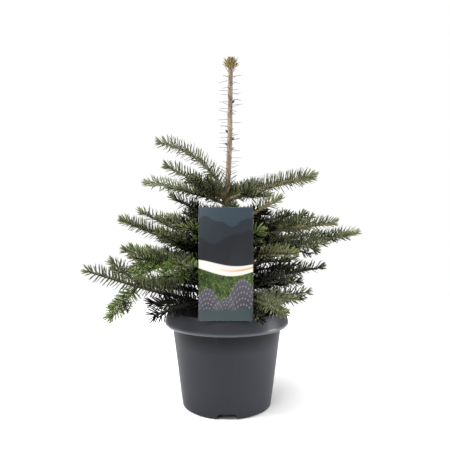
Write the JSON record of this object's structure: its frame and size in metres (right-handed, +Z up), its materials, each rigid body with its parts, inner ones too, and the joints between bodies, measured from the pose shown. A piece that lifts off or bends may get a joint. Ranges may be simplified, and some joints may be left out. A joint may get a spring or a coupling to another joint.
{
  "type": "potted korean fir",
  "caption": "Young Korean fir in a nursery pot: tiered boughs with dense short needles, a bare upright leader and a card label clipped on the rim.",
  "frame": {"origin": "centre of the pot's flat underside, on the surface the pot stands on", "axes": "+Z up along the trunk, -Y to the front where the label stands, +X to the right as seen from the front"},
  "size_m": [0.4193, 0.3131, 0.5362],
  "materials": {
    "pot": "satin",
    "peat": "matte",
    "label_card": "gloss",
    "bark": "matte",
    "buds": "satin",
    "needles": "satin"
  },
  "bodies": {
    "root": {"bough_bottom_1": "bark", "bough_bottom_2": "bark", "bough_bottom_3": "bark", "bough_bottom_5": "bark", "bough_bottom_6": "bark", "bough_bottom_7": "bark", "bough_bottom_8": "bark", "bough_bottom_9": "bark", "bough_lower_1": "bark", "bough_lower_2": "bark", "bough_lower_3": "bark", "bough_lower_4": "bark", "bough_lower_5": "bark", "bough_lower_6": "bark", "bough_lower_7": "bark", "bough_middle_1": "bark", "bough_middle_2": "bark", "bough_middle_3": "bark", "bough_upper_3": "bark", "foliage_bottom_1": "needles", "foliage_bottom_2": "needles", "foliage_bottom_3": "needles", "foliage_bottom_4": "needles", "foliage_bottom_5": "needles", "foliage_bottom_6": "needles", "foliage_bottom_7": "needles", "foliage_bottom_8": "needles", "foliage_bottom_9": "needles", "foliage_leader": "bark", "foliage_lower_1": "needles", "foliage_lower_10": "needles", "foliage_lower_2": "needles", "foliage_lower_3": "needles", "foliage_lower_4": "needles", "foliage_lower_5": "needles", "foliage_lower_6": "needles", "foliage_lower_7": "needles", "foliage_lower_8": "needles", "foliage_lower_9": "needles", "foliage_middle_1": "needles", "foliage_middle_2": "needles", "foliage_middle_3": "needles", "foliage_middle_4": "needles", "foliage_middle_5": "needles", "foliage_middle_6": "needles", "foliage_middle_7": "needles", "foliage_top_1": "needles", "foliage_top_2": "needles", "foliage_top_3": "needles", "foliage_top_4": "needles", "foliage_top_5": "needles", "foliage_top_6": "needles", "foliage_upper_1": "needles", "foliage_upper_2": "needles", "foliage_upper_3": "needles", "leader_tuft": "buds", "plant_label": "label_card", "pot": "pot", "soil": "peat", "trunk": "bark"}
  },
  "joints": []
}
